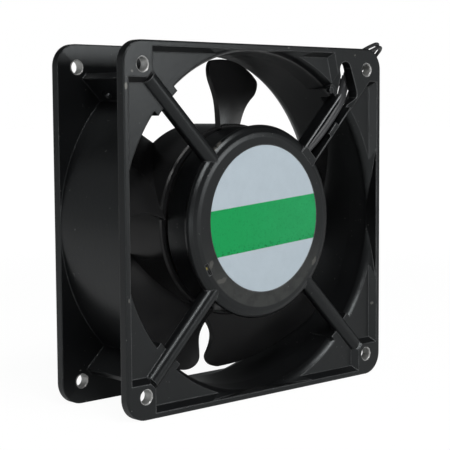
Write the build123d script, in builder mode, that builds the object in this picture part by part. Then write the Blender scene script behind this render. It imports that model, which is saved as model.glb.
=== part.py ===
from build123d import *
from math import cos, hypot, pi, radians, sin, sqrt, tan
import os

os.makedirs("parts", exist_ok=True)

# Rack cooling fan, 120 mm square and 38 mm deep, standing on its lower edge.
# Millimetres. X is to the right, Y is the fan axis from front to back, Z is up.
# The origin is on the fan axis, half way between the two flange faces.

# Casting: two square flanges joined by a round air duct and four corner webs
size = 120.0                # side of each flange
half = size / 2
depth = 38.0                # front face to rear face
rear = depth / 2
front = -rear
corner_r = 7.5              # outer corner radius of the flanges
edge_thick = 3.3            # flange thickness at its outer edge
draft_in = 18.0             # width of the sloped band on each inner flange face
draft_rise = 0.95           # how much the flange thickens over that band
edge_round = 0.5            # rounding of the front and rear outer edges
hole_pitch = size - 15.2    # between mounting hole axes, both ways
hole_at = hole_pitch / 2
hole_r = 2.2                # mounting hole radius
hole_chamfer = 0.3
duct_r = half - 0.2         # outside of the air duct
throat_r = duct_r - 2.5     # inside of the air duct at the impeller tips
web_end = hole_pitch / sqrt(2) - 4.1    # radius that the corner webs reach
web_thick = 2.6
earth_hole_r = 1.7          # cross hole in the upper left web, for an earthing screw
earth_hole_at, earth_hole_y = hole_at - 8.1, rear - 10.3

# Front face: shallow pocket around the duct, flush corner pads, raised outer lip
pocket_half = half - 1.8
pocket_floor = front + 2.3
pocket_run = 1.8            # sideways run of the sloped pocket walls
pad_edge = half - 11.5      # inner edges of the plain corner pads
pad_cut = 1.9               # corner cut of those pads
funnel_half = half - 2.0    # the funnel stops at this square, so the lip stays whole
throat_front = front + 13.0     # the funnel starts to open here
throat_rear = rear - 7.5
foot_half = 5.6             # half width of the plain duct wall behind each strut
foot_half_wire = 5.9        # the same behind the wire channel
foot_shift = 1.2            # that wall lies more to the upper side of the channel

# Struts and hub of the casting
strut_r = 2.83
strut_y = front + 2.95
strut_end = hole_pitch / sqrt(2) - 5.6
hub_r = 32.5
hub_inner_r = hub_r - 2.1
hub_bead_r = hub_r + 0.6
hub_face_r = hub_r - 3.5    # the hub face is flat up to here, then rounded
strut_start = hub_r - 2.9
hub_back = front + 12.6
hub_wall = 2.0              # thickness of the hub's front wall
tube_r = 8.5                # bearing tube that carries the stator
tube_back = rear - 6.5
label_r = 25.0
label_x, label_z = 0.5, 1.2
label_recess = 0.25
label_thick = 0.2

# Wire channel: the fourth strut, open to the front, and the slot where it ends.
# Outlines near its corner are measured from the axis of the mounting hole there.
channel_outer = 7.4
channel_inner = 6.4
channel_depth = 5.4
channel_floor = 0.9
channel_shift = 0.14        # the channel lies this far to its lower side, in X and in Z
slot_back = front + 10.0    # how far the slot also clears the duct behind the flange
slot_outline = [(-15.98, -11.74), (-13.3, -9.0), (-13.1, -7.4), (-14.25, -0.2), (-8.5, 0.5), (-5.9, -6.2),
                (-5.25, -8.2), (-5.3, -10.0), (-11.46, -16.27)]
slot_end_x, slot_end_z, slot_end_r = hole_at - 11.4, hole_at - 0.1, 2.9
wire_pad = [(-17.1, 5.8), (-13.8, -7.4), (-14.6, -9.5), (-21.6, -16.5), (-16.2, -21.86), (-9.37, -15.03),
            (-5.42, -11.08), (1.6, -4.1), (5.8, -4.1)]
lead_room_end = hole_pitch / sqrt(2) - 2.1      # the web there is cut away for the leads up to this radius
wire_hole_r = 2.0

# Bearings: 4 mm bore, 13 mm outside, 5 mm wide, one at each end of the tube
shaft_r = 2.0
bearing_r = 6.5
bearing_wide = 5.0
bearing_front = front + 6.0
bearing_rear = rear - 13.0
outer_land_r = 5.3
inner_land_r = 3.3
ball_r = 1.15
ball_pitch_r = 4.3
ball_count = 7
race_gap = 0.03             # between a ball and its grooves
ledge_r = 5.6
ledge_front = bearing_front + bearing_wide
ledge_rear = bearing_rear - 1.1

# Motor: four-pole stator inside an outer rotor
stack_front, stack_rear = front + 17.0, rear - 9.0
stator_r = 24.2
air_gap = 0.5
yoke_r = 13.0
neck_width = 9.0
shoe_inner_r = 21.2
shoe_half_angle = 35.0
bobbin_thick = 0.8
coil_build = 3.0
cup_r = 31.2                # outside of the rotor cup, inside of the impeller hub
cage_r = cup_r - 1.6        # outside of the squirrel cage, inside of the rotor cup
cup_front, cup_rear = stack_front - 1.2, rear - 3.0
cup_wall = 1.5
shaft_front, shaft_rear = front + 4.0, rear - 2.2

# Impeller: a hub ring and five twisted paddle blades
blade_count = 5
blade_turn = 80.35          # direction of the first blade, from +X towards +Z
blade_mid_y = rear - 13.4
blade_pitch = 27.9          # slope of the blade at pitch_at from the axis
blade_pitch_fall = 0.67     # slope lost with each millimetre outwards
pitch_at = 45.0
blade_tip_r = throat_r - 1.6
ring_r = cup_r + 2.2
ring_front, ring_rear = stack_front - 1.8, rear - 2.0
blade_root_thick, blade_tip_thick = 2.4, 1.3
tip_round_front, tip_round_rear = 5.0, 3.5
blade_front_edge = [(-14.0, 27.0), (-14.1, 36.0), (-15.6, 40.0), (-18.9, 44.0), (-22.6, 48.5), (-26.5, 53.0)]
blade_rear_edge = [(26.0, 52.5), (20.9, 48.0), (16.5, 44.0), (14.3, 40.0), (14.0, 36.0), (14.0, 27.0)]

# Leads: two insulated wires side by side, in a sleeve as far as the slot
lead_r = 0.65
sleeve_r, sleeve_bore_r = 1.6, 1.4
channel_y = front + 2.8
floor_z = -half + lead_r
tip_r, tip_long = 0.45, 6.0


def across(y):
    """Plane across the fan axis at axial position y, drawn as seen from the front."""
    return Plane.XZ.offset(-y)


def spoke(angle, y=0.0):
    """Plane across the axis with its own x pointing outwards at an angle from +X to +Z."""
    a = radians(angle)
    return Plane(origin=(0, y, 0), x_dir=(cos(a), 0, sin(a)), z_dir=(0, -1, 0))


def ring(outer, inner, y0, y1):
    """Round disc or ring about the fan axis from y0 back to y1."""
    with BuildPart() as tool:
        with BuildSketch(across(y0)):
            Circle(outer)
            if inner > 0:
                Circle(inner, mode=Mode.SUBTRACT)
        extrude(amount=y0 - y1)
    return tool.part


def turned(*points):
    """Solid of revolution about the fan axis; each point is (radius, y)."""
    with BuildPart() as tool:
        with BuildSketch(Plane.XY):
            with BuildLine():
                Polyline(*points, close=True)
            make_face()
        revolve(axis=Axis.Y)
    return tool.part


def square(half_side, y0, y1):
    """Square block about the fan axis from y0 back to y1."""
    with BuildPart() as tool:
        with BuildSketch(across(y0)):
            Rectangle(2 * half_side, 2 * half_side)
        extrude(amount=y0 - y1)
    return tool.part


def outline(points, y0, y1):
    """Straight-sided block over an outline drawn from the front."""
    with BuildPart() as tool:
        with BuildSketch(across(y0)):
            with BuildLine():
                Polyline(*points, close=True)
            make_face()
        extrude(amount=y0 - y1)
    return tool.part


def bar(angle, r0, r1, width, y0, y1):
    """Straight bar that runs outwards at an angle, from radius r0 to r1."""
    with BuildPart() as tool:
        with BuildSketch(spoke(angle, y0)):
            with Locations(((r0 + r1) / 2, 0)):
                Rectangle(r1 - r0, width)
        extrude(amount=y0 - y1)
    return tool.part


def rod(angle, r0, r1, radius, y):
    """Round rod that runs outwards at an angle, from radius r0 to r1."""
    a = radians(angle)
    with BuildPart() as tool:
        with BuildSketch(Plane(origin=(r0 * cos(a), y, r0 * sin(a)), z_dir=(cos(a), 0, sin(a)))):
            Circle(radius)
        extrude(amount=r1 - r0)
    return tool.part


def flange(y_face, y_edge, y_inner):
    """Square flange plate whose inner face rises in four gentle slopes."""
    with BuildPart() as plate:
        with BuildSketch(across(y_face)):
            Rectangle(size, size)
        extrude(amount=y_face - y_edge)
        with BuildSketch(across(y_edge)):
            Rectangle(size, size)
        with BuildSketch(across(y_inner)):
            Rectangle(size - 2 * draft_in, size - 2 * draft_in)
        loft(ruled=True)
    return plate.part


# frame casting
front_edge, rear_edge = front + edge_thick, rear - edge_thick
flange_front = flange(front, front_edge, front_edge + draft_rise)
flange_rear = flange(rear, rear_edge, rear_edge - draft_rise)
duct = ring(duct_r, 0, front + 1, rear - 1)
webs = [bar(45 + 90 * k, 40, web_end, web_thick, front + 1, rear - 1) for k in range(4)]

with BuildPart() as corners:
    with BuildSketch(across(front)):
        RectangleRounded(size, size, corner_r)
    extrude(amount=-depth)
    fillet(corners.faces().filter_by(Axis.Y).edges(), edge_round)

# front pocket: its outline steps round the four corner pads
near, far = pad_edge, pocket_half
wire_pad_in = [(hole_at + x, hole_at + z) for x, z in wire_pad]


def pad_corner(sx, sz):
    """Three corners of a plain pad, from its vertical edge to its level edge."""
    return [(sx * near, sz * far), (sx * near, sz * (near + pad_cut)),
            (sx * (near + pad_cut), sz * near), (sx * far, sz * near)]


def inset(points, distance):
    """Outline moved inwards by a distance on every side, corner for corner."""
    area = sum(a[0] * b[1] - b[0] * a[1] for a, b in zip(points, points[1:] + points[:1]))
    sign = 1 if area > 0 else -1
    moved = []
    for before, here, after in zip(points[-1:] + points[:-1], points, points[1:] + points[:1]):
        ux, uz = here[0] - before[0], here[1] - before[1]
        vx, vz = after[0] - here[0], after[1] - here[1]
        un, vn = hypot(ux, uz), hypot(vx, vz)
        nx, nz = -uz / un - vz / vn, ux / un + vx / vn
        lean = 1 + (ux * vx + uz * vz) / (un * vn)
        moved.append((here[0] + sign * distance * nx / lean, here[1] + sign * distance * nz / lean))
    return moved


pocket_points = (wire_pad_in + list(reversed(pad_corner(1, -1))) + pad_corner(-1, -1)
                 + list(reversed(pad_corner(-1, 1))))
with BuildPart() as pocket:
    for y, points in ((front, pocket_points), (pocket_floor, inset(pocket_points, pocket_run))):
        with BuildSketch(across(y)):
            with BuildLine():
                Polyline(*points, close=True)
            make_face()
    loft(ruled=True)

# funnel: opens from the throat to the front face, but not behind the struts
with BuildPart() as funnel:
    with BuildSketch(Plane.XY):
        with BuildLine():
            Polyline((0, front - 1), (0, throat_front), (throat_r, throat_front), (throat_r + 0.7, front + 5))
            ThreePointArc((throat_r + 0.7, front + 5), (throat_r + 2.0, front + 2.7),
                          (throat_r + 3.8, front + 1.3))
            Polyline((throat_r + 3.8, front + 1.3), (throat_r + 5.8, front), (throat_r + 7.3, front - 1),
                     (0, front - 1))
        make_face()
    revolve(axis=Axis.Y)
    for k in range(4):
        width, shift = (foot_half_wire, foot_shift) if k == 0 else (foot_half, 0)
        foot = bar(45 + 90 * k, throat_r - 1, web_end, 2 * width, pocket_floor, throat_front + 1)
        add(Pos(-shift, 0, shift) * foot, mode=Mode.SUBTRACT)
    add(square(funnel_half, front - 2, 0), mode=Mode.INTERSECT)

with BuildPart() as rear_funnel:
    with BuildSketch(Plane.XY):
        with BuildLine():
            Polyline((0, throat_rear), (throat_r, throat_rear))
            ThreePointArc((throat_r, throat_rear), (throat_r + 1.3, rear - 3.6), (throat_r + 3.9, rear))
            Polyline((throat_r + 3.9, rear), (throat_r + 4.6, rear + 1), (0, rear + 1), (0, throat_rear))
        make_face()
    revolve(axis=Axis.Y)
    add(square(pocket_half, 0, rear + 2), mode=Mode.INTERSECT)

hub_shell = turned((0, front), (hub_face_r, front), (hub_r - 2.0, front + 0.2), (hub_r - 0.7, front + 0.7),
                   (hub_r + 0.2, front + 1.5), (hub_bead_r, front + 2.4), (hub_r + 0.4, front + 3.2),
                   (hub_r, front + 3.8), (hub_r, hub_back), (hub_inner_r, hub_back),
                   (hub_inner_r, front + hub_wall), (0, front + hub_wall))
hub_room = ring(hub_inner_r, 0, front + hub_wall, throat_front)
bearing_tube = ring(tube_r, 0, front + hub_wall / 2, tube_back)
channel_front, channel_back = front, front + channel_depth
slot_block = outline([(hole_at + x, hole_at + z) for x, z in slot_outline], front - 1, slot_back)
slot_round = Pos(slot_end_x, 0, slot_end_z) * ring(slot_end_r, 0, front - 1, slot_back)
to_channel = Pos(channel_shift, 0, -channel_shift)
channel_bar = to_channel * bar(45, strut_start, throat_r + 1, channel_outer, channel_front, channel_back)
channel_cut = to_channel * bar(45, hub_bead_r - 0.4, throat_r + 0.2, channel_inner, front - 1,
                               channel_back - channel_floor)
lead_room = to_channel * bar(45, throat_r, lead_room_end, channel_inner, front + 4.25, slot_back)
lead_path_side = 0.35       # the leads lie this far to the upper side of the channel
wire_rod = rod(45, hub_inner_r - 3.4, hub_r + 1.5, wire_hole_r, channel_y)
wire_hole = Pos(-lead_path_side, 0, lead_path_side) * wire_rod
clip_tab = Pos(1.92, 0, -1.92) * bar(45, 43.7, 49.2, 1.6, front, front + 0.9)
earth_hole = Pos(-earth_hole_at, 0, earth_hole_at) * rod(45, -4, 4, earth_hole_r, earth_hole_y)
lump_r, lump_way = throat_r - 0.431, radians(52.143)
cast_lump = Pos(lump_r * cos(lump_way), 0, lump_r * sin(lump_way)) * ring(1.1, 0, pocket_floor - 1.2,
                                                                             pocket_floor + 0.5)

with BuildPart() as frame_casting:
    add(flange_front)
    add(flange_rear)
    add(duct)
    for web in webs:
        add(web)
    add(corners.part, mode=Mode.INTERSECT)
    add(pocket.part, mode=Mode.SUBTRACT)
    add(funnel.part, mode=Mode.SUBTRACT)
    add(rear_funnel.part, mode=Mode.SUBTRACT)
    add(ring(throat_r, 0, front - 1, rear + 1), mode=Mode.SUBTRACT)
    add(hub_shell)
    add(bearing_tube)
    for k in range(1, 4):
        add(rod(45 + 90 * k, strut_start, throat_r + 2.0, strut_r, strut_y) - hub_room)
        strut_foot = rod(45 + 90 * k, throat_r + 1, strut_end, strut_r, strut_y)
        add(strut_foot & square(half, front, pocket_floor + 1.2))
    add(channel_bar - hub_room)
    add(cast_lump)
    add(channel_cut, mode=Mode.SUBTRACT)
    add(slot_block, mode=Mode.SUBTRACT)
    add(slot_round, mode=Mode.SUBTRACT)
    add(lead_room, mode=Mode.SUBTRACT)
    add(clip_tab)
    add(earth_hole, mode=Mode.SUBTRACT)
    add(wire_hole, mode=Mode.SUBTRACT)
    add(ring(bearing_r, 0, front + hub_wall, ledge_front), mode=Mode.SUBTRACT)
    add(ring(ledge_r, 0, ledge_front, ledge_rear), mode=Mode.SUBTRACT)
    add(ring(bearing_r, 0, ledge_rear, tube_back), mode=Mode.SUBTRACT)
    label_seat = ring(label_r + 0.15, 0, front - 1, front + label_recess)
    add(Pos(label_x, 0, label_z) * label_seat, mode=Mode.SUBTRACT)
    add(bar(209, hub_r - 3.9, hub_r - 2.6, 4.2, front - 1, front + 0.8), mode=Mode.SUBTRACT)
    for sx in (-1, 1):
        for sz in (-1, 1):
            hole = ring(hole_r, 0, front - 1, rear + 1)
            flare_front = turned((0, front - 0.5), (hole_r + hole_chamfer + 0.5, front - 0.5),
                                 (hole_r, front + hole_chamfer), (0, front + hole_chamfer))
            flare_rear = turned((0, rear + 0.5), (hole_r + hole_chamfer + 0.5, rear + 0.5),
                                (hole_r, rear - hole_chamfer), (0, rear - hole_chamfer))
            place = Pos(sx * hole_at, 0, sz * hole_at)
            for cutter in (hole, flare_front, flare_rear):
                add(place * cutter, mode=Mode.SUBTRACT)
frame_casting.part.label = "frame_casting"
export_step(frame_casting.part, "parts/frame_casting.step")

# hub label
with BuildPart() as hub_label:
    add(Pos(label_x, 0, label_z) * ring(label_r, 0, front + label_recess - label_thick, front + label_recess))
hub_label.part.label = "hub_label"
export_step(hub_label.part, "parts/hub_label.step")

# stator laminations: a yoke with four salient poles
with BuildPart() as stator_laminations:
    with BuildSketch(across(stack_front)):
        Circle(yoke_r)
        Circle(stator_r)
        Circle(shoe_inner_r, mode=Mode.SUBTRACT)
        for k in range(4):
            gap_a = radians(45 + 90 * k)
            half_gap = radians(45 - shoe_half_angle)
            with BuildLine():
                Polyline((0, 0), (40 * cos(gap_a - half_gap), 40 * sin(gap_a - half_gap)),
                         (40 * cos(gap_a + half_gap), 40 * sin(gap_a + half_gap)), close=True)
            make_face(mode=Mode.SUBTRACT)
        Circle(yoke_r)
        Rectangle(2 * (shoe_inner_r + 1), neck_width)
        Rectangle(neck_width, 2 * (shoe_inner_r + 1))
        Circle(tube_r, mode=Mode.SUBTRACT)
    extrude(amount=stack_front - stack_rear)
stator_laminations.part.label = "stator_laminations"
export_step(stator_laminations.part, "parts/stator_laminations.step")


def pole_sleeve(angle, r0, r1, inner_wide, inner_y, outer_wide, outer_y):
    """Rectangular sleeve around one pole neck; wide is sideways, y is along the axis."""
    mid_y = (stack_front + stack_rear) / 2
    a = radians(angle)
    face = Plane(origin=(r0 * cos(a), mid_y, r0 * sin(a)), x_dir=(0, 1, 0), z_dir=(cos(a), 0, sin(a)))
    with BuildPart() as tool:
        with BuildSketch(face):
            RectangleRounded(outer_y, outer_wide, 1.0)
            Rectangle(inner_y, inner_wide, mode=Mode.SUBTRACT)
        extrude(amount=r1 - r0)
    return tool.part


# bobbins: an insulating reel on each pole
stack_long = stack_rear - stack_front
reel_in, reel_out = yoke_r + 0.2, shoe_inner_r - 2.1
reel_wide, reel_long = neck_width + 2 * bobbin_thick, stack_long + 2 * bobbin_thick
coil_wide, coil_long = reel_wide + 2 * coil_build, reel_long + 2 * coil_build
with BuildPart() as stator_bobbins:
    for k in range(4):
        add(pole_sleeve(90 * k, reel_in, reel_out, neck_width, stack_long, reel_wide, reel_long))
        add(pole_sleeve(90 * k, reel_in, reel_in + bobbin_thick, neck_width, stack_long,
                        coil_wide + 0.6, coil_long + 0.6))
        add(pole_sleeve(90 * k, reel_out - bobbin_thick, reel_out, neck_width, stack_long,
                        coil_wide + 0.6, coil_long + 0.6))
stator_bobbins.part.label = "stator_bobbins"
export_step(stator_bobbins.part, "parts/stator_bobbins.step")

# coils: the winding in each reel
with BuildPart() as stator_coils:
    for k in range(4):
        add(pole_sleeve(90 * k, reel_in + bobbin_thick, reel_out - bobbin_thick, reel_wide, reel_long,
                        coil_wide, coil_long))
stator_coils.part.label = "stator_coils"
export_step(stator_coils.part, "parts/stator_coils.step")

# shading rings: a closed copper strap at one end of each pole shoe, on both stack faces
with BuildPart() as shading_rings:
    for k in range(4):
        for y0, y1 in ((stack_front - 1.0, stack_front), (stack_rear, stack_rear + 1.0)):
            strap = ring(stator_r - 0.3, shoe_inner_r + 0.3, y0, y1)
            a0, a1 = radians(90 * k + 14), radians(90 * k + shoe_half_angle - 2)
            wedge = outline([(0, 0), (40 * cos(a0), 40 * sin(a0)), (40 * cos(a1), 40 * sin(a1))],
                            y0 - 1, y1 + 1)
            add(strap & wedge)
shading_rings.part.label = "shading_rings"
export_step(shading_rings.part, "parts/shading_rings.step")

# terminal board: a round board on the bearing tube in front of the coils, with four posts
board_front, board_rear, board_r = front + 7.6, front + 8.8, 23.0
post_r, post_ring_r = 0.6, 17.5
post_angles = (39.0, 51.0, 219.0, 231.0)
post_places = [Pos(post_ring_r * cos(radians(a)), 0, post_ring_r * sin(radians(a))) for a in post_angles]
with BuildPart() as terminal_board:
    add(ring(board_r, tube_r, board_front, board_rear))
    for place in post_places:
        add(place * ring(post_r, 0, board_front - 1, board_rear + 1), mode=Mode.SUBTRACT)
terminal_board.part.label = "terminal_board"
export_step(terminal_board.part, "parts/terminal_board.step")

with BuildPart() as terminal_posts:
    for place in post_places:
        add(place * ring(post_r, 0, channel_y + lead_r + 0.1, board_rear + 2.8))
terminal_posts.part.label = "terminal_posts"
export_step(terminal_posts.part, "parts/terminal_posts.step")


def outer_ring(y0):
    """Outer bearing ring with its groove."""
    mid = y0 + bearing_wide / 2
    with BuildPart() as tool:
        add(ring(bearing_r, outer_land_r, y0, y0 + bearing_wide))
        with BuildSketch(Plane.XY):
            with Locations((ball_pitch_r, mid)):
                Circle(ball_r + race_gap)
        revolve(axis=Axis.Y, mode=Mode.SUBTRACT)
    return tool.part


def inner_ring(y0):
    """Inner bearing ring with its groove."""
    mid = y0 + bearing_wide / 2
    with BuildPart() as tool:
        add(ring(inner_land_r, shaft_r, y0, y0 + bearing_wide))
        with BuildSketch(Plane.XY):
            with Locations((ball_pitch_r, mid)):
                Circle(ball_r + race_gap)
        revolve(axis=Axis.Y, mode=Mode.SUBTRACT)
    return tool.part


def ball_places(y0):
    """Centres of the balls of one bearing."""
    step = 2 * pi / ball_count
    return [Pos(ball_pitch_r * cos(step * k), y0 + bearing_wide / 2, ball_pitch_r * sin(step * k))
            for k in range(ball_count)]


def cage(y0):
    """Thin ring between the balls, with a pocket for each."""
    mid = y0 + bearing_wide / 2
    with BuildPart() as tool:
        add(ring(ball_pitch_r + 0.3, ball_pitch_r - 0.3, mid - 1.7, mid + 1.7))
        for k in range(ball_count):
            pocket_way = 360 / ball_count * k
            add(rod(pocket_way, ball_pitch_r - 1, ball_pitch_r + 1, ball_r + 0.06, mid), mode=Mode.SUBTRACT)
    return tool.part


# bearings: outer rings, inner rings, balls and cages at both ends
for name, y0 in (("front", bearing_front), ("rear", bearing_rear)):
    outer = outer_ring(y0)
    outer.label = "bearing_outer_ring_" + name
    export_step(outer, "parts/bearing_outer_ring_" + name + ".step")
    inner = inner_ring(y0)
    inner.label = "bearing_inner_ring_" + name
    export_step(inner, "parts/bearing_inner_ring_" + name + ".step")
    with BuildPart() as balls:
        with Locations(*ball_places(y0)):
            Sphere(ball_r)
    balls.part.label = "ball_set_" + name
    export_step(balls.part, "parts/ball_set_" + name + ".step")
    ball_cage = cage(y0)
    ball_cage.label = "ball_cage_" + name
    export_step(ball_cage, "parts/ball_cage_" + name + ".step")

# bearing shields: thin rings pressed into both faces of the outer rings
with BuildPart() as bearing_shields:
    for y0 in (bearing_front, bearing_rear):
        add(ring(outer_land_r, inner_land_r + 0.25, y0 + 0.15, y0 + 0.35))
        add(ring(outer_land_r, inner_land_r + 0.25, y0 + bearing_wide - 0.35, y0 + bearing_wide - 0.15))
bearing_shields.part.label = "bearing_shields"
export_step(bearing_shields.part, "parts/bearing_shields.step")

# preload washer: a dished spring ring that pushes the rear outer ring back
with BuildPart() as preload_washer:
    add(turned((4.9, ledge_rear + 0.66), (4.9, ledge_rear + 1.1), (6.35, ledge_rear + 0.44),
               (6.35, ledge_rear)))
preload_washer.part.label = "preload_washer"
export_step(preload_washer.part, "parts/preload_washer.step")

# shaft with a groove for the retaining clip
clip_y0, clip_y1, groove_r = bearing_front - 1.1, bearing_front - 0.5, 1.6
with BuildPart() as shaft:
    add(turned((0, shaft_front), (shaft_r - 0.3, shaft_front), (shaft_r, shaft_front + 0.3),
               (shaft_r, clip_y0), (groove_r, clip_y0), (groove_r, clip_y1), (shaft_r, clip_y1),
               (shaft_r, shaft_rear - 0.3), (shaft_r - 0.3, shaft_rear), (0, shaft_rear)))
shaft.part.label = "shaft"
export_step(shaft.part, "parts/shaft.step")

with BuildPart() as retaining_clip:
    add(ring(3.4, groove_r, clip_y0, clip_y1))
    add(bar(270, 0, 5, 2 * groove_r - 0.6, clip_y0 - 1, clip_y1 + 1), mode=Mode.SUBTRACT)
retaining_clip.part.label = "retaining_clip"
export_step(retaining_clip.part, "parts/retaining_clip.step")

with BuildPart() as thrust_washer:
    add(ring(3.2, shaft_r, clip_y1, bearing_front))
thrust_washer.part.label = "thrust_washer"
export_step(thrust_washer.part, "parts/thrust_washer.step")

# rotor cup: deep-drawn steel, with a boss that grips the shaft against the rear inner ring
boss_front = bearing_rear + bearing_wide
with BuildPart() as rotor_cup:
    add(turned((shaft_r, boss_front), (3.1, boss_front), (3.1, tube_back + 0.5), (6.0, tube_back + 1.3),
               (6.0, cup_rear - cup_wall), (cage_r - 1.0, cup_rear - cup_wall),
               (cage_r, cup_rear - cup_wall - 1.0), (cage_r, cup_front), (cup_r, cup_front),
               (cup_r, cup_rear - 1.2), (cup_r - 1.2, cup_rear), (shaft_r, cup_rear)))
rotor_cup.part.label = "rotor_cup"
export_step(rotor_cup.part, "parts/rotor_cup.step")

# squirrel cage: laminated core with skewed bars at its face, and a ring at each end
cage_in = stator_r + air_gap
with BuildPart() as squirrel_cage_core:
    add(ring(cage_r, cage_in, stack_front, stack_rear))
squirrel_cage_core.part.label = "squirrel_cage_core"
export_step(squirrel_cage_core.part, "parts/squirrel_cage_core.step")

with BuildPart() as squirrel_end_rings:
    add(ring(cage_r - 0.3, cage_in + 0.2, cup_front, stack_front))
    add(ring(cage_r - 0.3, cage_in + 0.2, stack_rear, stack_rear + 2.4))
squirrel_end_rings.part.label = "squirrel_end_rings"
export_step(squirrel_end_rings.part, "parts/squirrel_end_rings.step")

# impeller blade, drawn pointing up: a twisted slab cut to the outline seen from the front
blade_stations = (25.0, 36.0, 47.0, 58.0)
with BuildPart() as blade_slab:
    for reach in blade_stations:
        slope = radians(blade_pitch - blade_pitch_fall * (reach - pitch_at))
        share = (reach - blade_stations[0]) / (blade_stations[-1] - blade_stations[0])
        thick = blade_root_thick + share * (blade_tip_thick - blade_root_thick)
        with BuildSketch(Plane((0, blade_mid_y, reach), x_dir=(cos(slope), sin(slope), 0), z_dir=(0, 0, 1))):
            Rectangle(62, thick)
    loft()

with BuildPart() as blade:
    with BuildSketch(across(ring_front - 8)) as blade_face:
        with BuildLine():
            Spline(*blade_front_edge)
            Line(blade_front_edge[-1], (0, half))
            Line((0, half), blade_rear_edge[0])
            Spline(*blade_rear_edge)
            Line(blade_rear_edge[-1], blade_front_edge[0])
        make_face()
        Circle(blade_tip_r, mode=Mode.INTERSECT)
        tips = blade_face.vertices().sort_by(Axis.Z)[-2:].sort_by(Axis.X)
        fillet(tips[0], tip_round_front)
        tips = blade_face.vertices().filter_by(lambda v: v.X > 15).sort_by(Axis.Z)[-1:]
        fillet(tips, tip_round_rear)
    extrude(amount=-(ring_rear - ring_front + 16))
    add(blade_slab.part, mode=Mode.INTERSECT)
    add(ring(ring_r - 0.4, 0, ring_front - 10, ring_rear + 10), mode=Mode.SUBTRACT)

with BuildPart() as impeller:
    add(turned((cup_r, ring_front), (ring_r - 0.6, ring_front), (ring_r, ring_front + 0.6),
               (ring_r, ring_rear - 0.8), (ring_r - 0.8, ring_rear), (cup_r - 3.0, ring_rear),
               (cup_r - 3.0, cup_rear), (cup_r, cup_rear)))
    for k in range(blade_count):
        add(Rot(0, 90 - blade_turn - 360 / blade_count * k, 0) * blade.part)
impeller.part.label = "impeller"
export_step(impeller.part, "parts/impeller.step")

# leads and sleeve: each row is a place on the shared route and the way from the middle to one lead
side = lead_path_side
pair_in, pair_out = 0.68, 0.85


def in_channel(r, lift, y=channel_y):
    """Place in the wire channel at radius r, shifted towards its upper side."""
    return (r / sqrt(2) - side - lift, y, r / sqrt(2) + side + lift)


def by_hole(x, y, z):
    """Place measured from the upper right mounting hole at the front face."""
    return (hole_at + x, front + y, hole_at + z)


def on_floor(x, y):
    """Place on the floor, measured from the lower right edge of the rear face."""
    return (half + x, rear + y, floor_z)


route = [
    (in_channel(18.0, -0.1), (-0.71, 0, 0.71), pair_in),
    (in_channel(31.0, 0.0), (-0.71, 0, 0.71), pair_in),
    (in_channel(44.5, -0.70, front + 2.1), (-0.71, 0, 0.71), pair_in),
    (by_hole(-11.4, 2.6, -11.8), (-0.71, 0, 0.71), pair_in),
    (by_hole(-5.2, 6.7, -6.5), (-0.78, 0.30, 0.55), pair_in),
    (by_hole(-3.2, 5.7, 2.1), (-0.80, 0.10, 0.59), pair_out),
    (by_hole(3.6, 6.2, 6.2), (-0.40, 0.30, 0.86), pair_out),
    (by_hole(17.1, 6.7, 10.8), (-0.28, 0.59, 0.75), pair_out),
    (by_hole(20.1, 16.0, 4.6), (-0.27, 0.66, 0.70), pair_out),
    (by_hole(20.6, 26.0, -6.4), (-0.46, 0.77, 0.43), pair_out),
    (by_hole(19.6, 31.5, -25.4), (-0.65, 0.74, 0.15), pair_out),
    (by_hole(18.6, 33.5, -64.4), (-0.70, 0.71, 0.05), pair_out),
    (by_hole(19.6, 36.0, -96.4), (-0.72, 0.69, 0.06), pair_out),
    (on_floor(15.0, 3.0), (-0.79, 0.61, 0), pair_out),
    (on_floor(22.0, 12.0), (-0.97, 0.24, 0), 1.0),
    (on_floor(20.0, 23.0), (-0.82, -0.57, 0), 1.3),
    (on_floor(11.0, 28.5), (-0.52, -0.85, 0), 2.2),
]
sleeve_route = [place for place, _, _ in route[1:5]] + [by_hole(-4.2, 6.2, -2.2)]


def route_points(sign):
    """Route of one lead: the shared route moved to its side."""
    return [Vector(*place) + Vector(*way) * (sign * gap) for place, way, gap in route]


def bend_radii(points):
    """Largest fair bend at each inner point of a route."""
    radii = []
    for before, here, after in zip(points, points[1:], points[2:]):
        run_in, run_out = here - before, after - here
        half_turn = radians(run_in.get_angle(run_out)) / 2
        radii.append(0.45 * min(run_in.length, run_out.length) / tan(half_turn))
    return radii


def tube(points, outer, inner=0.0, radii=None):
    """Round tube along a route with a fair bend at every inner point."""
    radii = radii or bend_radii(points)
    with BuildPart() as tool:
        with BuildLine() as line:
            FilletPolyline(*points, radius=radii)
        path = line.wire()
        with BuildSketch(Plane(origin=path @ 0, z_dir=path % 0)):
            Circle(outer)
            if inner > 0:
                Circle(inner, mode=Mode.SUBTRACT)
        sweep(path=path)
    wanted = pi * (outer ** 2 - inner ** 2) * path.length
    print("tube: smallest bend %.2f mm, length %.1f mm, volume %.2f of %.2f mm3"
          % (min(radii), path.length, tool.part.volume, wanted))
    return tool.part


with BuildPart() as lead_sleeve:
    middle = [Vector(*place) for place, _, _ in route]
    add(tube([Vector(*place) for place in sleeve_route], sleeve_r, sleeve_bore_r, bend_radii(middle)[1:4]))
lead_sleeve.part.label = "lead_sleeve"
export_step(lead_sleeve.part, "parts/lead_sleeve.step")

with BuildPart() as lead_line:
    add(tube(route_points(1), lead_r))
lead_line.part.label = "lead_line"
export_step(lead_line.part, "parts/lead_line.step")

with BuildPart() as lead_neutral:
    add(tube(route_points(-1), lead_r))
lead_neutral.part.label = "lead_neutral"
export_step(lead_neutral.part, "parts/lead_neutral.step")

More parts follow.
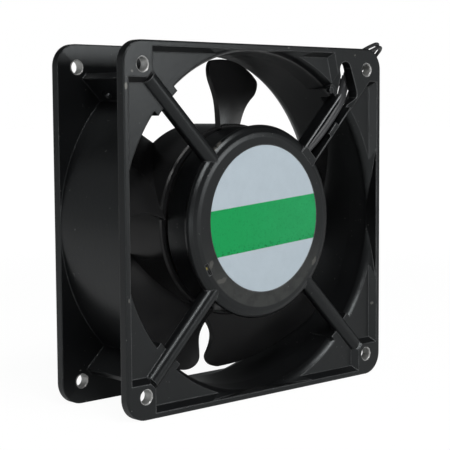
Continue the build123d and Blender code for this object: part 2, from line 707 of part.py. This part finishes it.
# bare tinned ends of the two leads
with BuildPart() as lead_tips:
    for sign in (1, -1):
        points = route_points(sign)
        way = (points[-1] - points[-2]).normalized()
        with BuildSketch(Plane(origin=points[-1], z_dir=way)):
            Circle(tip_r)
        extrude(amount=tip_long)
lead_tips.part.label = "lead_tips"
export_step(lead_tips.part, "parts/lead_tips.step")
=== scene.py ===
"""Looks of a rack cooling fan: black cast frame, paddle-bladed impeller, hub label and two free leads.

Metres, with X right, Y from the label side back along the fan axis and Z up. The origin is on the fan axis,
half way between the flange faces. Sizes on the fan are written in millimetres and brought to metres by MM.
"""

from math import cos, radians, sin, sqrt

import bpy
from mathutils import Matrix, Vector


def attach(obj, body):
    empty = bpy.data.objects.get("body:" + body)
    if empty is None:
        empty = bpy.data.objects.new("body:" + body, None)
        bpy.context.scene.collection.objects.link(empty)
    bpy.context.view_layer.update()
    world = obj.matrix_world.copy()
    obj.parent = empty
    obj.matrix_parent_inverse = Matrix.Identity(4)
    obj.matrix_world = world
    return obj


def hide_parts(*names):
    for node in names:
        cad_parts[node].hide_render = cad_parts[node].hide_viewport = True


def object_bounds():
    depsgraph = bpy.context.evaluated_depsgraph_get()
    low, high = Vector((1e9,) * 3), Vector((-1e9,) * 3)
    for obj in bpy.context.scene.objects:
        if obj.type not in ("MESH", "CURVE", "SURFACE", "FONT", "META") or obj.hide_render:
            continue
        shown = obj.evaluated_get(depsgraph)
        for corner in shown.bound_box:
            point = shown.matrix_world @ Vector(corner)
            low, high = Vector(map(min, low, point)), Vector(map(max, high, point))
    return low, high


MM = 0.001
DIAGONAL = sqrt(0.5)        # share of a length at 45 degrees that lies along each axis

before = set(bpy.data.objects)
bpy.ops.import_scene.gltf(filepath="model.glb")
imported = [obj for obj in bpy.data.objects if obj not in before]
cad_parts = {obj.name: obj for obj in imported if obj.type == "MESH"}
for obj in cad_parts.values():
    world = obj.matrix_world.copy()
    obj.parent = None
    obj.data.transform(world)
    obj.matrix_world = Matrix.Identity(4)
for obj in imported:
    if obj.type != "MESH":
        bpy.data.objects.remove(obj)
cad_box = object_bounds()
FRONT = cad_box[0][1]       # front face of the fan
FLOOR = cad_box[0][2]       # the fan stands on its two lower flange edges


# Camera, in millimetres and degrees: seen from the front left, a little above the middle of the fan
VIEW_PLACE = (-303.84, -330.34, 37.16)
VIEW_YAW, VIEW_PITCH, VIEW_ROLL = 42.533, -5.006, -0.374
VIEW_LENS, VIEW_SENSOR = 102.49, 36
VIEW_NEAR, VIEW_FAR = 0.01, 20      # these two in metres


def aim_camera():
    """Camera at the photograph's place, with its own right and up directions worked out from the angles."""
    yaw, pitch, roll = radians(VIEW_YAW), radians(VIEW_PITCH), radians(VIEW_ROLL)
    ahead = Vector((sin(yaw) * cos(pitch), cos(yaw) * cos(pitch), sin(pitch)))
    level = Vector((cos(yaw), -sin(yaw), 0))
    above = level.cross(ahead)
    right = level * cos(roll) + above * sin(roll)
    up = above * cos(roll) - level * sin(roll)
    lens = bpy.data.cameras.new("camera")
    lens.lens = VIEW_LENS
    lens.sensor_width = VIEW_SENSOR
    lens.clip_start, lens.clip_end = VIEW_NEAR, VIEW_FAR
    camera = bpy.data.objects.new("camera", lens)
    turn = Matrix((right, up, -ahead)).transposed()
    camera.matrix_world = Matrix.Translation(Vector(VIEW_PLACE) * MM) @ turn.to_4x4()
    bpy.context.collection.objects.link(camera)
    bpy.context.scene.camera = camera


aim_camera()


# Shader building
BEVEL_SAMPLES = 6
EDGE_TURN, EDGE_SOFT = 0.06, 0.05   # how far a rounded normal turns from the true one along an edge


class Value:
    """One socket of a node tree; arithmetic on it adds Math nodes."""

    def __init__(self, tree, socket):
        self.tree, self.socket = tree, socket

    def maths(self, operation, *others):
        return self.tree.node("ShaderNodeMath", {"operation": operation}, (self, *others))

    def __add__(self, other):
        return self.maths("ADD", other)

    def __mul__(self, other):
        return self.maths("MULTIPLY", other)

    def __sub__(self, other):
        return self.maths("SUBTRACT", other)

    def __rsub__(self, other):
        return self.tree.node("ShaderNodeMath", {"operation": "SUBTRACT"}, (other, self))

    def __truediv__(self, other):
        return self.maths("DIVIDE", other)

    def __pow__(self, other):
        return self.maths("POWER", other)

    def __abs__(self):
        return self.maths("ABSOLUTE")

    __radd__, __rmul__ = __add__, __mul__

    def step(self, start, end, first, last):
        """Goes softly from the first number to the last while the value goes from start to end."""
        return self.tree.node(
            "ShaderNodeMapRange", {"interpolation_type": "SMOOTHSTEP"},
            {"Value": self, "From Min": start, "From Max": end, "To Min": first, "To Max": last})

    def below(self, limit, soft):
        """1 where the value is under the limit, 0 above it, with a soft step between."""
        return self.step(limit - soft, limit + soft, 1.0, 0.0)

    def above(self, limit, soft):
        """1 where the value is over the limit, 0 under it, with a soft step between."""
        return self.step(limit - soft, limit + soft, 0.0, 1.0)


class Tree:
    """The node tree of a material or world, emptied and built anew."""

    def __init__(self, owner, output):
        owner.use_nodes = True
        self.nodes, self.links = owner.node_tree.nodes, owner.node_tree.links
        self.nodes.clear()
        self.output = self.nodes.new(output)

    def node(self, kind, settings=None, inputs=(), output=0):
        """Adds a node of a kind, sets it, feeds its sockets and gives one of its outputs."""
        made = self.nodes.new(kind)
        for name, setting in (settings or {}).items():
            setattr(made, name, setting)
        pairs = inputs.items() if isinstance(inputs, dict) else enumerate(inputs)
        for name, fed in pairs:
            self.feed(made.inputs[name], fed)
        return Value(self, made.outputs[output])

    def feed(self, socket, fed):
        """Links a value to a socket, or sets the socket to a number or colour."""
        if isinstance(fed, Value):
            self.links.new(fed.socket, socket)
        elif socket.type == "RGBA":
            socket.default_value = (*fed, 1)
        else:
            socket.default_value = fed

    def ray(self, kind):
        """1 for rays of a kind, 0 for others."""
        return self.node("ShaderNodeLightPath", output=f"Is {kind} Ray")

    def axes(self, place, letters):
        """The named axes of a place or direction, one value each."""
        return [self.node("ShaderNodeSeparateXYZ", {}, (place,), letter) for letter in letters]

    def show(self, body):
        """Makes a finished body the one that is rendered."""
        self.feed(self.output.inputs["Surface"], body)


class Finish(Tree):
    """One material, with the few node recipes that this fan's surfaces share."""

    def __init__(self, name):
        self.material = bpy.data.materials.new(name)
        super().__init__(self.material, "ShaderNodeOutputMaterial")
        self.place = self.node("ShaderNodeTexCoord", output="Object")
        self.x, self.y, self.z = self.axes(self.place, "XYZ")

    def noise(self, scale, detail=3.0, rough=0.5):
        """Fractal noise at a scale in features per metre."""
        return self.node("ShaderNodeTexNoise", {},
                         {"Vector": self.place, "Scale": scale, "Detail": detail, "Roughness": rough})

    def spread(self, mask, low, high):
        """A mask turned into a value from low to high."""
        return self.node("ShaderNodeMapRange", {}, {"Value": mask, "To Min": low, "To Max": high})

    def mix(self, mask, under, over):
        """Colour that goes from under to over with the mask, by the colour sockets of a Mix node."""
        return self.node("ShaderNodeMix", {"data_type": "RGBA"}, {0: mask, 6: under, 7: over}, 2)

    def rounded(self, radius):
        """Normal as if edges were rounded."""
        return self.node("ShaderNodeBevel", {"samples": BEVEL_SAMPLES}, {"Radius": radius})

    def edge(self, width):
        """1 along outer and inner edges, 0 on open faces."""
        true = self.node("ShaderNodeNewGeometry", output="Normal")
        pair = (self.rounded(width), true)
        match = self.node("ShaderNodeVectorMath", {"operation": "DOT_PRODUCT"}, pair, "Value")
        return (1 - match).above(EDGE_TURN, EDGE_SOFT)

    def bump(self, height, distance, strength, rounding=None):
        """Normal from a height in metres, over a rounded edge where one is given."""
        sockets = {"Height": height, "Distance": distance, "Strength": strength}
        if rounding:
            sockets["Normal"] = self.rounded(rounding)
        return self.node("ShaderNodeBump", {}, sockets)

    def surface(self, **sockets):
        """Principled surface; names follow its sockets, with underscores for spaces."""
        named = {name.replace("_", " "): fed for name, fed in sockets.items()}
        self.show(self.node("ShaderNodeBsdfPrincipled", {}, named, "BSDF"))
        return self.material


# Places on the casting, from the fan axis unless said otherwise
HOLE = 52.4 * MM                    # mounting hole axes, both ways
HOLE_EDGE = 2.55 * MM               # bare metal shows this far from a hole's axis
HOLE_RAGGED = 0.6 * MM              # how far its edge wanders
WEAR_AND_HIGHLIGHT_DEPTH = FRONT + 2.5 * MM       # wear, bruises and painted edge highlights lie only ahead of here
FLUSH_DEPTH = FRONT + 0.45 * MM     # only the foremost faces lie ahead of here
HUB_FLAT_R = 29.0 * MM              # the rubbed flat ring round the label ends here
DUCT_IN, DUCT_OUT = 56.0 * MM, 58.0 * MM    # the duct's inner wall lies between these radii
DUCT_FRONT = FRONT + 5.5 * MM       # and behind here
LIP = 3.05 * MM                     # painted highlight line on the channel's upper lip, from the channel's axis
LIP_START, LIP_END = 32.5 * MM, 57.6 * MM   # ends of that line, along the channel
GLINT_X, GLINT_Z, GLINT_R = -25.9 * MM, -13.9 * MM, 0.55 * MM     # a painted brass glint, a yellow spot in the hub's notch

# Bruises in the paint of the front, in millimetres:
# x, z, half length, half width, turn in degrees and strength
STAKE_MARKS = [
    (-24.6, -12.9, 1.7, 1.1, 70, 0.9), (-19.9, -18.3, 2.3, 1.0, 15, 0.7), (24.6, -15.2, 1.9, 0.9, 55, 0.9),
]
PAINT_NICKS = [
    (-56.6, 50.2, 0.5, 0.4, 0, 1.6), (57.2, -34.0, 0.6, 0.4, 80, 1.4), (12.0, 59.2, 0.5, 0.3, 0, 1.2),
    (-58.9, -21.0, 0.6, 0.3, 90, 1.4), (46.0, 57.5, 0.5, 0.4, 20, 1.2), (-59.0, 45.5, 1.2, 0.6, 90, 2.2),
    (-18.8, 27.0, 1.5, 0.35, 40, 1.3), (-20.8, 25.3, 0.9, 0.3, 55, 1.1),
]
BRUISE_EDGE, BRUISE_SOFT = 0.85, 0.25       # a bruise ends here, and fades by this much, in its half widths
BRUISE_RAGGED = 1.7                 # how far noise tears its edge, in the same measure

# Colours and gloss of the casting
PAINT_DEEP, PAINT_PALE = (0.0034, 0.0036, 0.0040), (0.0058, 0.0060, 0.0065)
METAL_DEEP, METAL_PALE = (0.36, 0.36, 0.355), (0.60, 0.60, 0.585)
# the pale greys for the lower hub ring and the edges are partly dusty and worn paint, partly painted
# reflection and highlights; the lip grey is a painted highlight and the yellow a painted brass glint
DUSTY_AND_SHEEN, EDGE_THIN_AND_HIGHLIGHT, RUBBED_AND_HIGHLIGHT = (0.034, 0.0345, 0.0325), (0.024, 0.025, 0.026), (0.21, 0.215, 0.22)
CHIPPED, LIP_HIGHLIGHT, BRUISED = (0.13, 0.13, 0.125), (0.42, 0.43, 0.44), (0.150, 0.145, 0.130)
SPECKLED, BRASS_GLINT = (0.26, 0.26, 0.25), (0.32, 0.27, 0.06)
PAINT_GLOSS = 0.36                  # how much the paint mirrors; 0.5 is plain varnish
PAINT_TINT = (0.93, 0.985, 1.0)     # colour of what it mirrors
PAINT_SMOOTH, PAINT_ROUGH = 0.27, 0.35
RING_MATT = 0.26                    # roughness added on the rubbed ring
DUCT_MATT, DUCT_TOP_MATT = 0.10, 0.36       # roughness added inside the duct, low down and at its top
METAL_ROUGH, METAL_SHARE = 0.42, 0.8


def distance(across, up):
    """Distance from the point where both values are 0."""
    return (across ** 2 + up ** 2) ** 0.5


def bare_holes(paint):
    """Bare metal in the mounting holes and just round them."""
    from_hole = distance(abs(paint.x) - HOLE, abs(paint.z) - HOLE)
    return (from_hole + (paint.noise(900, 2) - 0.5) * HOLE_RAGGED).below(HOLE_EDGE, 0.08 * MM)


def bruises(paint):
    """Bruises and nicks, each an ellipse with a torn edge."""
    torn = paint.noise(520, 3, 0.6)
    marks = 0
    for x, z, half_length, half_width, turn, strength in STAKE_MARKS + PAINT_NICKS:
        right, up = paint.x - x * MM, paint.z - z * MM
        along = (right * cos(radians(turn)) + up * sin(radians(turn))) / (half_length * MM)
        aside = (up * cos(radians(turn)) - right * sin(radians(turn))) / (half_width * MM)
        away = distance(along, aside) + (torn - 0.5) * BRUISE_RAGGED
        marks = away.below(BRUISE_EDGE, BRUISE_SOFT) * strength + marks
    return marks


def lip_highlight_line(paint):
    """Painted highlight line on the channel's upper lip."""
    aside = abs((paint.z - paint.x) * DIAGONAL - LIP).below(0.42 * MM, 0.08 * MM)
    along = (paint.z + paint.x) * DIAGONAL
    return aside * along.above(LIP_START, 0.5 * MM) * along.below(LIP_END, 0.6 * MM)


def worn_coat(paint, cloud, flush, flat_ring):
    """Colour of the paint: a dusty, lighter lower hub ring that is partly a painted floor reflection; edges
    lightened partly by thin and rubbed paint and partly by painted highlights; a painted highlight line on
    the channel lip; chips, bruises and specks; and a painted brass glint over it.
    """
    smudge = paint.noise(180, 3, 0.6)
    # every edge, inner and outer, is lightened: partly thin paint, partly a painted highlight on the
    # rounding
    edge = paint.edge(0.45 * MM)
    at_front = paint.y.below(WEAR_AND_HIGHLIGHT_DEPTH, 1.2 * MM)
    # lighter lower part of the flat hub ring: partly dusty, partly a painted reflection of the floor
    dust_and_sheen = flat_ring * paint.z.below(-12 * MM, 10 * MM) * smudge.step(0.24, 0.60, 0.3, 1.0)
    # front edges lightened further: partly rubbed paint, partly painted highlight lines along them
    rub_and_highlight = edge * at_front * smudge.step(0.30, 0.60, 0.3, 1.0)
    chip = edge * paint.noise(330, 3, 0.7).above(0.6, 0.05)
    # painted highlight along the channel's upper lip
    lip = lip_highlight_line(paint) * flush * (smudge * 0.5 + 0.35)
    bruise = bruises(paint) * at_front * smudge.step(0.16, 0.56, 0.4, 1.0)
    speck = paint.noise(1100, 2, 0.5).above(0.735, 0.012) * paint.noise(70, 2).above(0.5, 0.08)
    # painted brass glint in the hub's notch
    glint = distance(paint.x - GLINT_X, paint.z - GLINT_Z).below(GLINT_R, 0.1 * MM) * (1 - flush) * at_front
    coat = paint.mix(cloud, PAINT_DEEP, PAINT_PALE)
    # each layer, from the coat outwards: where, how strongly and in what colour
    for mask, strength, colour in (
            (dust_and_sheen, 1.0, DUSTY_AND_SHEEN), (edge, 0.35, EDGE_THIN_AND_HIGHLIGHT), (rub_and_highlight, 0.75, RUBBED_AND_HIGHLIGHT), (chip, 0.4, CHIPPED),
            (lip, 1.0, LIP_HIGHLIGHT), (bruise, 0.5, BRUISED), (speck, 0.5, SPECKLED), (glint, 1.0, BRASS_GLINT)):
        coat = paint.mix(mask * strength, coat, colour)
    return coat


def duct_matting(paint):
    """Roughness added on the duct's inner wall."""
    from_axis = distance(paint.x, paint.z)
    wall = from_axis.above(DUCT_IN, 0.3 * MM) * from_axis.below(DUCT_OUT, 0.3 * MM)
    inside = wall * paint.y.above(DUCT_FRONT, 1.0 * MM)
    return inside * paint.z.step(-10 * MM, 30 * MM, DUCT_MATT, DUCT_TOP_MATT)


def casting_paint():
    """Black paint with a fine grain, worn at the edges, with painted highlights along edges, a painted
    floor reflection on the lower hub ring, and bare metal in the mounting holes.
    """
    paint = Finish("casting_paint")
    grain, cloud = paint.noise(1500, 4, 0.6), paint.noise(60, 3)
    flush = paint.y.below(FLUSH_DEPTH, 0.2 * MM)
    flat_ring = distance(paint.x, paint.z).below(HUB_FLAT_R, 0.3 * MM) * flush
    rough = paint.spread(grain * 0.2 + cloud * 0.8, PAINT_SMOOTH, PAINT_ROUGH)
    rough = rough + flat_ring * RING_MATT + duct_matting(paint)
    bare = bare_holes(paint)
    metal = paint.mix(paint.noise(2500, 2), METAL_DEEP, METAL_PALE)
    return paint.surface(
        Base_Color=paint.mix(bare, worn_coat(paint, cloud, flush, flat_ring), metal),
        Metallic=bare * METAL_SHARE,
        Roughness=rough + bare * (METAL_ROUGH - rough),
        Specular_IOR_Level=PAINT_GLOSS,
        Specular_Tint=PAINT_TINT,
        Normal=paint.bump(paint.noise(620, 2, 0.4), 0.06 * MM, 0.45, 0.7 * MM))


# Hub label: its middle, and a band across it that is turned a little
LABEL_X, LABEL_Z = 0.5 * MM, 1.2 * MM
BAND_TILT = radians(4.4)
BAND_MID, BAND_HALF = -2.2 * MM, 7.8 * MM   # middle and half height of the band, from the label's middle
BAND_WANDER = 0.12 * MM                     # how far its printed edge wanders
GROUND_DEEP, GROUND_PALE, GROUND_FLECK = (0.465, 0.54, 0.595), (0.535, 0.615, 0.675), (0.30, 0.36, 0.40)
GREEN_DEEP, GREEN_PALE, GREEN_LEFT = (0.010, 0.300, 0.088), (0.022, 0.395, 0.130), (0.0, 0.345, 0.082)
GREEN_SCUFFED, GREEN_DIRTY = (0.0, 0.17, 0.045), (0.0, 0.17, 0.040)


def label_film():
    """Satin label film: pale blue-grey ground with a green band across it."""
    film = Finish("label_film")
    across, up = film.x - LABEL_X, film.z - LABEL_Z
    height = up * cos(BAND_TILT) - across * sin(BAND_TILT) - BAND_MID
    wander = (film.noise(2600, 2) - 0.5) * BAND_WANDER
    band = (abs(height) + wander).below(BAND_HALF, 0.09 * MM)
    mottle = film.noise(240, 4, 0.6)
    fleck = film.noise(1900, 2).above(0.66, 0.03)
    dirt = film.noise(900, 4, 0.7).above(0.58, 0.05)
    at_left = across.below(0, 22 * MM)
    low_edge = (height + BAND_HALF).below(1.6 * MM, 1.2 * MM)
    ground = film.mix(mottle, GROUND_DEEP, GROUND_PALE)
    ground = film.mix(fleck * 0.15, ground, GROUND_FLECK)
    green = film.mix(mottle, GREEN_DEEP, GREEN_PALE)
    green = film.mix(at_left * 0.7, green, GREEN_LEFT)
    green = film.mix(low_edge * dirt, green, GREEN_DIRTY)
    green = film.mix(dirt * 0.22 + fleck * 0.25, green, GREEN_SCUFFED)
    return film.surface(
        Base_Color=film.mix(band, ground, green),
        Roughness=film.spread(mottle, 0.50, 0.62),
        Specular_IOR_Level=0.18,
        Normal=film.bump(film.noise(1800, 3), 0.02 * MM, 0.3))


def impeller_plastic():
    """Moulded black plastic with a soft sheen, slightly clouded."""
    plastic = Finish("impeller_plastic")
    cloud = plastic.noise(80, 3)
    return plastic.surface(
        Base_Color=plastic.mix(cloud, (0.012, 0.012, 0.0125), (0.018, 0.018, 0.0185)),
        Roughness=plastic.spread(cloud, 0.19, 0.27),
        Specular_IOR_Level=0.22,
        Normal=plastic.bump(plastic.noise(2200, 3), 0.01 * MM, 0.3, 0.3 * MM))


def sleeve_plastic():
    """Smooth dark grey sleeve, slightly uneven."""
    sleeve = Finish("sleeve_plastic")
    cloud = sleeve.noise(220, 3)
    return sleeve.surface(
        Base_Color=sleeve.mix(cloud, (0.030, 0.031, 0.033), (0.047, 0.048, 0.051)),
        Roughness=sleeve.spread(cloud, 0.40, 0.50),
        Normal=sleeve.bump(cloud, 0.06 * MM, 0.4))


def lead_insulation():
    """Black insulation with a slight unevenness."""
    cover = Finish("lead_insulation")
    cloud = cover.noise(500, 3)
    return cover.surface(
        Base_Color=cover.mix(cloud, (0.010, 0.010, 0.011), (0.022, 0.022, 0.023)),
        Roughness=cover.spread(cloud, 0.36, 0.5),
        Normal=cover.bump(cloud, 0.05 * MM, 0.4))


def pressed_plastic(name, dark, bright, smooth, rough):
    """Moulded or pressed insulating part."""
    body = Finish(name)
    cloud = body.noise(350, 4, 0.6)
    return body.surface(
        Base_Color=body.mix(cloud, dark, bright),
        Roughness=body.spread(cloud, smooth, rough),
        Normal=body.bump(body.noise(2400, 2), 0.04 * MM, 0.4, 0.2 * MM))


# Fine lines on inner pieces, as radians per metre of the sine that draws them
TURNED_LINES = 24000
SHEET_LINES = 12566
WIRE_TURNS = 18000


def worked_metal(name, dark, bright, smooth, rough, lines=0):
    """Metal with fine machining or sheet lines across the fan axis."""
    metal = Finish(name)
    cloud = metal.noise(300, 4, 0.6)
    shade = cloud
    if lines:
        shade = cloud * 0.5 + (metal.y * lines).maths("SINE") * 0.25 + 0.25
    return metal.surface(
        Base_Color=metal.mix(shade, dark, bright),
        Metallic=1.0,
        Roughness=metal.spread(cloud, smooth, rough),
        Normal=metal.bump(shade, 0.03 * MM, 0.5, 0.2 * MM))


def winding_copper():
    """Enamelled copper laid in fine turns."""
    wire = Finish("winding_copper")
    turns = ((wire.x + wire.z + wire.y) * WIRE_TURNS).maths("SINE")
    cloud = wire.noise(400, 3)
    return wire.surface(
        Base_Color=wire.mix(cloud, (0.40, 0.13, 0.045), (0.62, 0.24, 0.09)),
        Metallic=0.85,
        Roughness=wire.spread(cloud, 0.28, 0.42),
        Coat_Weight=0.6,
        Normal=wire.bump(turns, 0.06 * MM, 0.8))


def both_ends(*names):
    """The names of nodes that come once per bearing."""
    return [f"{name}_{end}" for name in names for end in ("front", "rear")]


# Each finish with the nodes that wear it. Its numbers are its dark and its bright colour, the roughness
# where it is smoothest and where it is roughest, and then its lines.
DRESSED = [
    (casting_paint(), ["frame_casting"]),
    (label_film(), ["hub_label"]),
    (impeller_plastic(), ["impeller"]),
    (sleeve_plastic(), ["lead_sleeve"]),
    (worked_metal("tinned_wire", (0.50, 0.50, 0.49), (0.74, 0.74, 0.72), 0.25, 0.35),
     ["lead_tips", "terminal_posts"]),
    (worked_metal("lamination_steel", (0.10, 0.10, 0.105), (0.34, 0.34, 0.35), 0.35, 0.5, SHEET_LINES),
     ["stator_laminations", "squirrel_cage_core"]),
    (pressed_plastic("bobbin_plastic", (0.56, 0.53, 0.43), (0.66, 0.63, 0.53), 0.4, 0.55),
     ["stator_bobbins"]),
    (winding_copper(), ["stator_coils"]),
    (worked_metal("strap_copper", (0.48, 0.20, 0.10), (0.66, 0.31, 0.17), 0.3, 0.4),
     ["shading_rings"]),
    (pressed_plastic("board_laminate", (0.15, 0.075, 0.03), (0.23, 0.12, 0.05), 0.4, 0.55),
     ["terminal_board"]),
    (worked_metal("bearing_steel", (0.52, 0.52, 0.53), (0.68, 0.68, 0.69), 0.12, 0.2),
     both_ends("bearing_outer_ring", "bearing_inner_ring", "ball_set")),
    (worked_metal("spring_steel", (0.22, 0.22, 0.23), (0.38, 0.38, 0.39), 0.25, 0.35),
     [*both_ends("ball_cage"), "bearing_shields", "preload_washer", "thrust_washer", "retaining_clip"]),
    (worked_metal("shaft_steel", (0.42, 0.42, 0.43), (0.60, 0.60, 0.61), 0.2, 0.3, TURNED_LINES),
     ["shaft"]),
    (worked_metal("drawn_steel", (0.20, 0.20, 0.205), (0.33, 0.33, 0.335), 0.3, 0.42),
     ["rotor_cup"]),
    (worked_metal("rotor_aluminium", (0.42, 0.40, 0.35), (0.62, 0.60, 0.54), 0.4, 0.55),
     ["squirrel_end_rings"]),
]
for material, names in DRESSED:
    for name in names:
        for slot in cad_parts[name].material_slots:
            slot.material = material


# Leads, in millimetres: two insulated wires side by side, out of the hub, along the wire channel and down
# behind the fan
LEAD_R = 0.65
CHANNEL_SIDE = 0.35         # the leads lie this far to the upper side of the channel
CHANNEL_Y = -16.2           # and their middles at this depth in it
LEAD_FLOOR = FLOOR / MM + LEAD_R
PAIR_IN, PAIR_OUT = 0.68, 0.85      # from each lead's middle to the pair's, in the channel and past it
ACROSS_CHANNEL = (-0.71, 0, 0.71)


def in_channel(radius, lift, y=CHANNEL_Y):
    """Place in the wire channel at a radius, shifted towards its upper side."""
    return (radius * DIAGONAL - CHANNEL_SIDE - lift, y, radius * DIAGONAL + CHANNEL_SIDE + lift)


# each row: a place on the shared route, the way from it to one lead, and how far off that lead is
LEAD_ROUTE = [
    (in_channel(18.0, -0.1), ACROSS_CHANNEL, PAIR_IN),
    (in_channel(31.0, 0.0), ACROSS_CHANNEL, PAIR_IN),
    (in_channel(44.5, -0.7, -16.9), ACROSS_CHANNEL, PAIR_IN),
    ((41.0, -16.4, 40.6), ACROSS_CHANNEL, PAIR_IN),
    ((47.2, -12.3, 45.9), (-0.78, 0.30, 0.55), PAIR_IN),
    ((49.2, -13.3, 54.5), (-0.80, 0.10, 0.59), PAIR_OUT),
    ((56.0, -12.8, 58.6), (-0.40, 0.30, 0.86), PAIR_OUT),
    ((69.5, -12.3, 63.2), (-0.28, 0.59, 0.75), PAIR_OUT),
    ((72.5, -3.0, 57.0), (-0.27, 0.66, 0.70), PAIR_OUT),
    ((73.0, 7.0, 46.0), (-0.46, 0.77, 0.43), PAIR_OUT),
    ((72.0, 12.5, 27.0), (-0.65, 0.74, 0.15), PAIR_OUT),
    ((71.0, 14.5, -12.0), (-0.70, 0.71, 0.05), PAIR_OUT),
    ((72.0, 17.0, -44.0), (-0.72, 0.69, 0.06), PAIR_OUT),
    ((75.0, 22.0, LEAD_FLOOR), (-0.79, 0.61, 0), PAIR_OUT),
    ((82.0, 31.0, LEAD_FLOOR), (-0.97, 0.24, 0), 1.0),
    ((80.0, 42.0, LEAD_FLOOR), (-0.82, -0.57, 0), 1.3),
    ((71.0, 47.5, LEAD_FLOOR), (-0.52, -0.85, 0), 2.2),
]


def lead(name, sign, node, finish):
    """One free lead, as a smooth tube along its side of the route."""
    points = [Vector(place) + Vector(way) * (sign * off) for place, way, off in LEAD_ROUTE]
    line = bpy.data.curves.new(name, "CURVE")
    line.dimensions = "3D"
    line.bevel_depth = LEAD_R * MM
    line.bevel_resolution = 5
    line.resolution_u = 10
    line.use_fill_caps = True
    spline = line.splines.new("NURBS")
    spline.points.add(len(points) - 1)
    for control, point in zip(spline.points, points):
        control.co = (*(point * MM), 1)
    spline.order_u = 3
    spline.use_endpoint_u = True
    line.materials.append(finish)
    piece = bpy.data.objects.new(name, line)
    bpy.context.collection.objects.link(piece)
    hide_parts(node)
    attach(piece, "frame")
    return piece, points


insulation = lead_insulation()
line_piece, line_points = lead("line_lead", 1, "lead_line", insulation)
neutral_piece, neutral_points = lead("neutral_lead", -1, "lead_neutral", insulation)
line_points[0] * MM
neutral_points[0] * MM


# Studio: pale floor, white surroundings for the eye, soft lamps
CEILING = 0.050             # strength of the surroundings overhead
HORIZON = 0.27              # the same all round at eye level
HORIZON_FADE = (-0.08, 0.42)        # it turns into the ceiling between these parts of a direction along Z
LEFT_GAIN = 3.0             # how much brighter they are on the far left
LEFT_FADE = (-0.97, -0.80)          # where that fades out, as parts of a direction along X
RIGHT_GAIN = 2.2            # how much brighter they are on the far right
RIGHT_FADE = (0.78, 0.97)           # where that fades in
ROOM_TINT = (0.94, 0.985, 1.0)
WHITE = (1.0, 1.0, 1.0)
WHITE_SHINE = 0.10          # share of the white beyond the horizon that glossy surfaces mirror
WHITE_FADE = (0.0, 0.25)    # it fades out between these parts of a direction along Z
FLOOR_SHINE = 0.14          # share of the floor's white that glossy surfaces mirror
FRONT_SHINE = 0.75          # added to that share on the open floor at the front left
OPEN_FLOOR = 0.42           # the open floor begins this far from the fan
OPEN_X, OPEN_Y = 0.0, -0.15         # its front left part lies left of X and ahead of Y
PAPER = (0.93, 0.93, 0.93)
PAPER_GLOW = 1.04           # strength of the white that the eye gets from the floor
SHADOW_GLOW = 0.92          # share of it near the fan, where the paper shows its shadow
SHADOW_REACH = (0.25, 0.85)         # the share grows to the whole between these distances
FLOOR_REACH = 6.0


def pale_floor():
    """White floor that stays white to the eye and keeps a soft shadow."""
    paper = Finish("floor_paper")
    away = distance(paper.x, paper.y)
    front_left = away.above(OPEN_FLOOR, 0.18) * paper.y.below(OPEN_Y, 0.10) * paper.x.below(OPEN_X, 0.25)
    plain = away.step(*SHADOW_REACH, SHADOW_GLOW, 1.0)
    eye = (paper.ray("Camera") + paper.ray("Transmission")).above(0.5, 0.1)
    seen = eye * plain + paper.ray("Glossy") * (front_left * FRONT_SHINE + FLOOR_SHINE)
    diffuse = paper.node("ShaderNodeBsdfDiffuse", {}, {"Color": PAPER})
    glow = paper.node("ShaderNodeEmission", {}, {"Color": WHITE, "Strength": PAPER_GLOW})
    paper.show(paper.node("ShaderNodeMixShader", {}, (seen, diffuse, glow)))
    return paper.material


def lay_floor():
    """Square of paper under the fan, far wider than the view."""
    mesh = bpy.data.meshes.new("floor")
    corners = [(-1, -1), (1, -1), (1, 1), (-1, 1)]
    mesh.from_pydata([(x * FLOOR_REACH, y * FLOOR_REACH, FLOOR) for x, y in corners], [], [(0, 1, 2, 3)])
    mesh.materials.append(pale_floor())
    floor = bpy.data.objects.new("floor", mesh)
    bpy.context.collection.objects.link(floor)


def light_world():
    """White to the eye; to the surfaces a pale horizon, brighter at both sides, under a dim ceiling."""
    world = bpy.data.worlds.new("studio")
    bpy.context.scene.world = world
    room = Tree(world, "ShaderNodeOutputWorld")
    across, up = room.axes(room.node("ShaderNodeTexCoord", output="Generated"), "XZ")
    band = up.step(*HORIZON_FADE, HORIZON, CEILING)
    left = across.step(*LEFT_FADE, LEFT_GAIN, 1.0)
    right = across.step(*RIGHT_FADE, 1.0, RIGHT_GAIN)
    plain = room.node("ShaderNodeBackground", {}, {"Color": ROOM_TINT, "Strength": band * (left * right)})
    white = room.node("ShaderNodeBackground", {}, {"Color": WHITE, "Strength": 1.0})
    eye = room.ray("Camera").maths("MAXIMUM", room.ray("Transmission"))
    mirrored = room.ray("Glossy") * up.step(*WHITE_FADE, WHITE_SHINE, 0.0)
    room.show(room.node("ShaderNodeMixShader", {}, (eye.maths("MAXIMUM", mirrored), plain, white)))


def lamp(name, place, wide, high, power, along=(1, 0, 0)):
    """Soft rectangular lamp at a place, turned towards the fan, with its width along a direction."""
    light = bpy.data.lights.new(name, "AREA")
    light.shape = "RECTANGLE"
    light.size, light.size_y, light.energy = wide, high, power
    made = bpy.data.objects.new(name, light)
    back = Vector(place).normalized()
    up = back.cross(Vector(along)).normalized()
    turn = Matrix((up.cross(back), up, back)).transposed()
    made.matrix_world = Matrix.Translation(place) @ turn.to_4x4()
    bpy.context.collection.objects.link(made)


lay_floor()
light_world()
lamp("key_lamp", (-0.31, -0.81, 1.10), wide=1.18, high=0.16, power=13.2, along=(0.84, 0.25, 0.49))
lamp("fill_lamp", (0.60, -1.02, 0.19), wide=0.22, high=0.22, power=2.15)
lamp("left_lamp", (-0.90, -0.80, 0.0), wide=1.1, high=0.11, power=1.15)
lamp("rear_lamp", (-0.9, 0.5, 0.5), wide=0.5, high=0.7, power=1.0)

bpy.context.scene.view_settings.view_transform = "Standard"
